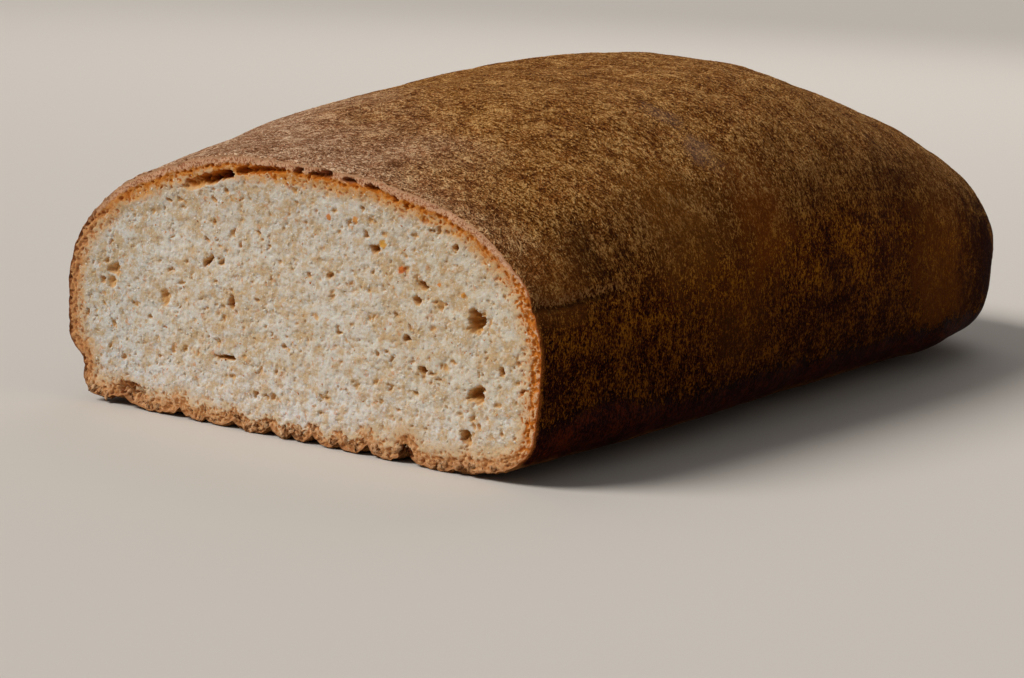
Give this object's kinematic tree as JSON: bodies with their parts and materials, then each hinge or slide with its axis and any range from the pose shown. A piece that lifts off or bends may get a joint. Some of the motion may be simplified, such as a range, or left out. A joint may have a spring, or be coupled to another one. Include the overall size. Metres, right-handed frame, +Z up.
{
  "type": "cut bread loaf",
  "caption": "Long free-formed wheat loaf with its first slices gone: domed brown crust, porous pale crumb on the cut face, flat base to rest on.",
  "frame": {"origin": "the middle of the loaf's box, on the surface under its flat base", "axes": "+Y along the loaf from the cut face to the uncut end, +X to the loaf's right seen from the cut face, +Z up"},
  "size_m": [0.147, 0.2652, 0.0777],
  "materials": {
    "crust": "baked brown crust, matt and finely flecked",
    "crumb": "pale porous crumb with bran flecks, matt"
  },
  "bodies": {
    "root": {"loaf": "crust"}
  },
  "joints": []
}
